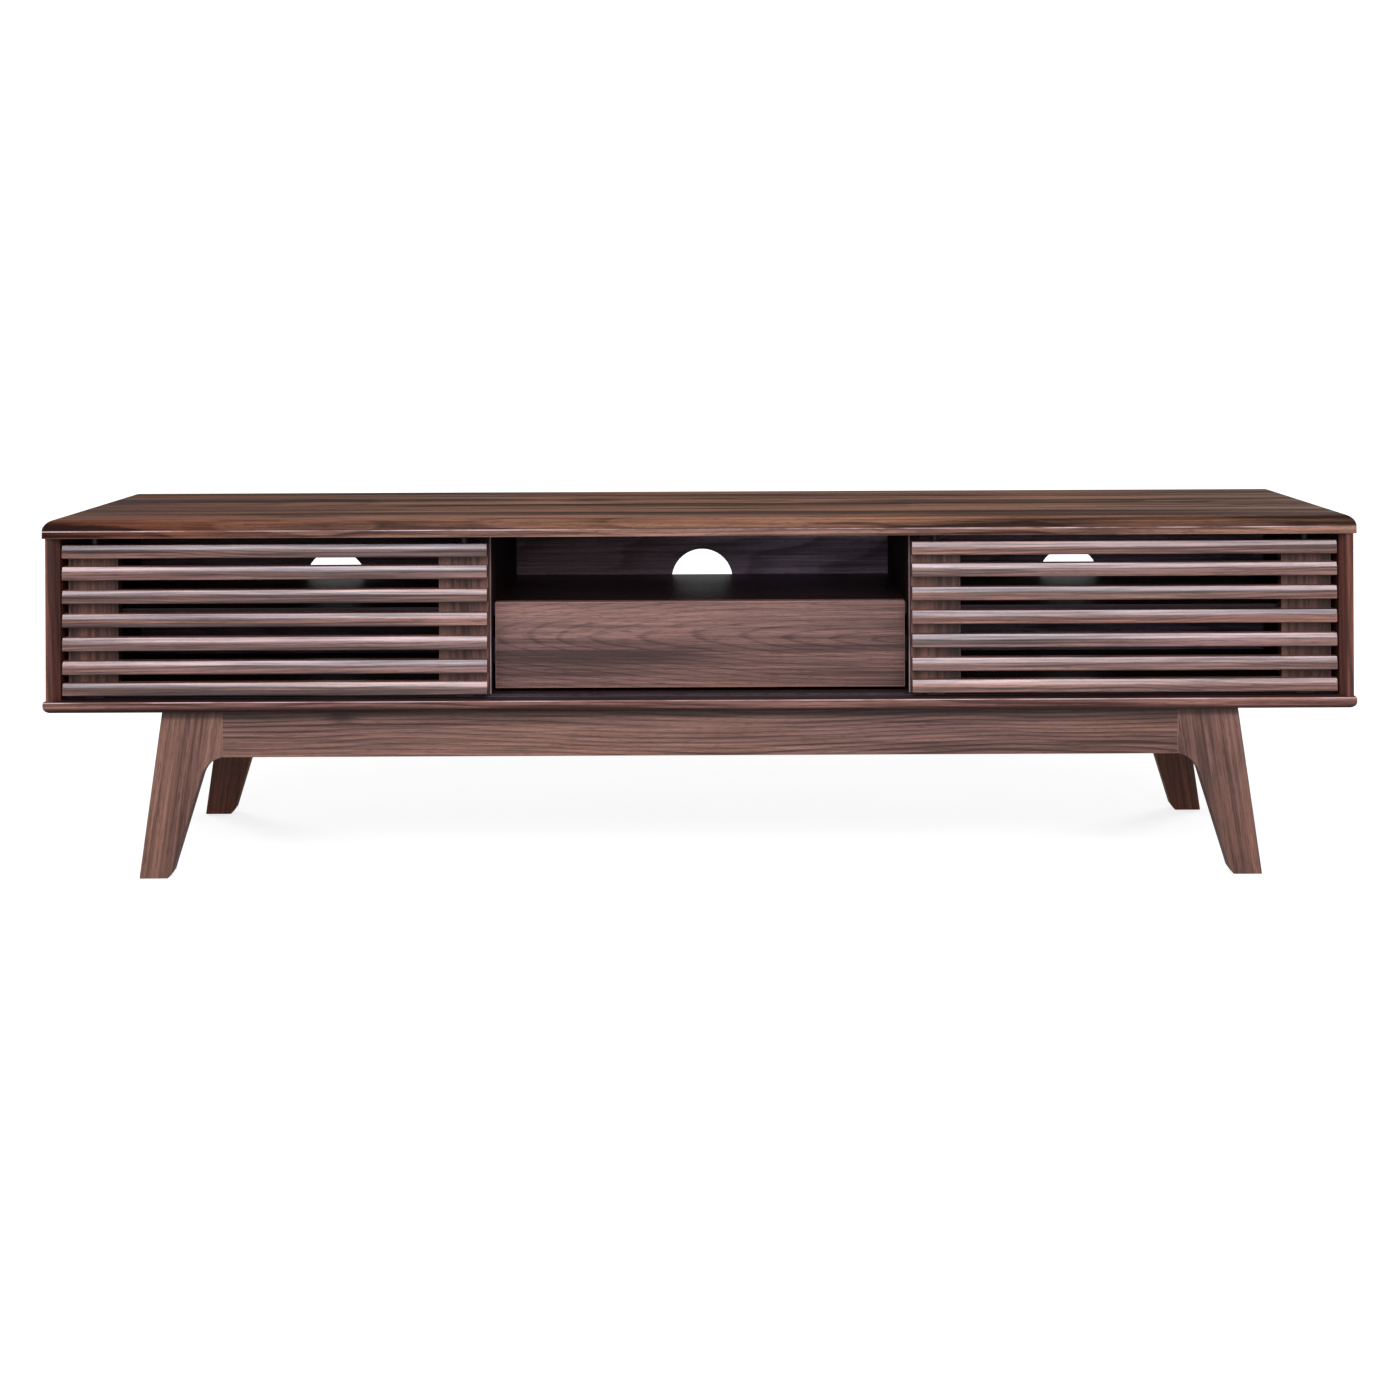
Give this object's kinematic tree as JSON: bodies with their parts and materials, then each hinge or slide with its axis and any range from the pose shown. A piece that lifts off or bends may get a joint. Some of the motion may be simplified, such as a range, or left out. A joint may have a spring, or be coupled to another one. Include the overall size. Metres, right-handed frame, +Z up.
{
  "type": "media cabinet",
  "caption": "Long low walnut media cabinet on splayed legs, with sliding slatted doors over the side bays, and a centre shelf above a plain drawer.",
  "frame": {"origin": "centre of the footprint on the floor, under the middle of the cabinet", "axes": "+X along the cabinet's length to the viewer's right, -Y is the front, +Z up"},
  "size_m": [1.8, 0.4, 0.495],
  "materials": {
    "walnut_top": "satin lacquered walnut, grain along the length",
    "walnut_carcass": "satin lacquered walnut veneer",
    "walnut_shelf": "satin lacquered walnut veneer",
    "walnut_back": "matt walnut veneer",
    "walnut_slat": "satin lacquered solid walnut, grain along the slat",
    "walnut_stile": "satin lacquered solid walnut, upright grain",
    "walnut_drawer_front": "satin lacquered walnut veneer, cathedral grain",
    "walnut_frame": "satin lacquered solid walnut",
    "pale_wood": "matt lacquered birch plywood",
    "dark_track": "dark anodised extrusion",
    "zinc_steel": "zinc plated",
    "brown_plastic": "matt",
    "grey_nylon": "matt grey nylon"
  },
  "bodies": {
    "cabinet": {"top_panel": "walnut_top", "bottom_panel": "walnut_carcass", "side_panel_left": "walnut_carcass", "side_panel_right": "walnut_carcass", "divider_left": "walnut_carcass", "divider_right": "walnut_carcass", "centre_shelf": "walnut_shelf", "side_shelf_left": "walnut_shelf", "side_shelf_right": "walnut_shelf", "back_panel": "walnut_back", "front_apron": "walnut_frame", "back_apron": "walnut_frame", "end_rail_left": "walnut_frame", "end_rail_right": "walnut_frame", "leg_front_left": "walnut_frame", "leg_front_right": "walnut_frame", "leg_back_left": "walnut_frame", "leg_back_right": "walnut_frame", "corner_blocks": "pale_wood", "top_track": "dark_track", "bottom_track": "dark_track", "shelf_pins": "zinc_steel", "cabinet_runners": "zinc_steel", "back_panel_screws": "zinc_steel", "base_screws": "zinc_steel", "cam_caps": "brown_plastic"},
    "drawer": {"drawer_front": "walnut_drawer_front", "drawer_side_left": "pale_wood", "drawer_side_right": "pale_wood", "drawer_back": "pale_wood", "drawer_bottom": "pale_wood", "drawer_runners": "zinc_steel"},
    "door_left": {"slat_left_1": "walnut_slat", "slat_left_2": "walnut_slat", "slat_left_3": "walnut_slat", "slat_left_4": "walnut_slat", "slat_left_5": "walnut_slat", "slat_left_6": "walnut_slat", "slat_left_7": "walnut_slat", "stile_left_inner": "walnut_stile", "stile_left_outer": "walnut_stile", "roller_axles_left": "zinc_steel", "guide_springs_left": "zinc_steel"},
    "guides_left": {"guide_pins_left": "grey_nylon"},
    "roller_left_inner": {"roller_left_inner": "grey_nylon"},
    "roller_left_outer": {"roller_left_outer": "grey_nylon"},
    "door_right": {"slat_right_1": "walnut_slat", "slat_right_2": "walnut_slat", "slat_right_3": "walnut_slat", "slat_right_4": "walnut_slat", "slat_right_5": "walnut_slat", "slat_right_6": "walnut_slat", "slat_right_7": "walnut_slat", "stile_right_inner": "walnut_stile", "stile_right_outer": "walnut_stile", "roller_axles_right": "zinc_steel", "guide_springs_right": "zinc_steel"},
    "guides_right": {"guide_pins_right": "grey_nylon"},
    "roller_right_inner": {"roller_right_inner": "grey_nylon"},
    "roller_right_outer": {"roller_right_outer": "grey_nylon"}
  },
  "joints": [
    {"name": "door_left_slide", "type": "slide", "parent": "cabinet", "child": "door_left", "axis": [1, 0, 0], "range_m": [0, 0.291]},
    {"name": "door_right_slide", "type": "slide", "parent": "cabinet", "child": "door_right", "axis": [-1, 0, 0], "range_m": [0, 0.291]},
    {"name": "drawer_slide", "type": "slide", "parent": "cabinet", "child": "drawer", "axis": [0, 1, 0], "range_m": [-0.22, 0]},
    {"name": "guides_left_press", "type": "slide", "parent": "door_left", "child": "guides_left", "axis": [0, 0, -1], "range_m": [0, 0.008], "stiffness_N_per_m": 300, "springref_m": -0.006, "deforming": ["guide_springs_left"]},
    {"name": "roller_left_inner_spin", "type": "hinge", "parent": "door_left", "child": "roller_left_inner", "pos_m": [-0.3265, -0.163, 0.2553], "axis": [0, 1, 0], "range_deg": [0, 1120]},
    {"name": "roller_left_outer_spin", "type": "hinge", "parent": "door_left", "child": "roller_left_outer", "pos_m": [-0.8385, -0.163, 0.2553], "axis": [0, 1, 0], "range_deg": [0, 1120]},
    {"name": "guides_right_press", "type": "slide", "parent": "door_right", "child": "guides_right", "axis": [0, 0, -1], "range_m": [0, 0.008], "stiffness_N_per_m": 300, "springref_m": -0.006, "deforming": ["guide_springs_right"]},
    {"name": "roller_right_inner_spin", "type": "hinge", "parent": "door_right", "child": "roller_right_inner", "pos_m": [0.3265, -0.163, 0.2553], "axis": [0, 1, 0], "range_deg": [-1120, 0]},
    {"name": "roller_right_outer_spin", "type": "hinge", "parent": "door_right", "child": "roller_right_outer", "pos_m": [0.8385, -0.163, 0.2553], "axis": [0, 1, 0], "range_deg": [-1120, 0]}
  ],
  "couplings": [
    {"joint": "roller_left_inner_spin", "follows": "door_left_slide", "rad_per_m": 66.667},
    {"joint": "roller_left_outer_spin", "follows": "door_left_slide", "rad_per_m": 66.667},
    {"joint": "roller_right_inner_spin", "follows": "door_right_slide", "rad_per_m": -66.667},
    {"joint": "roller_right_outer_spin", "follows": "door_right_slide", "rad_per_m": -66.667}
  ]
}
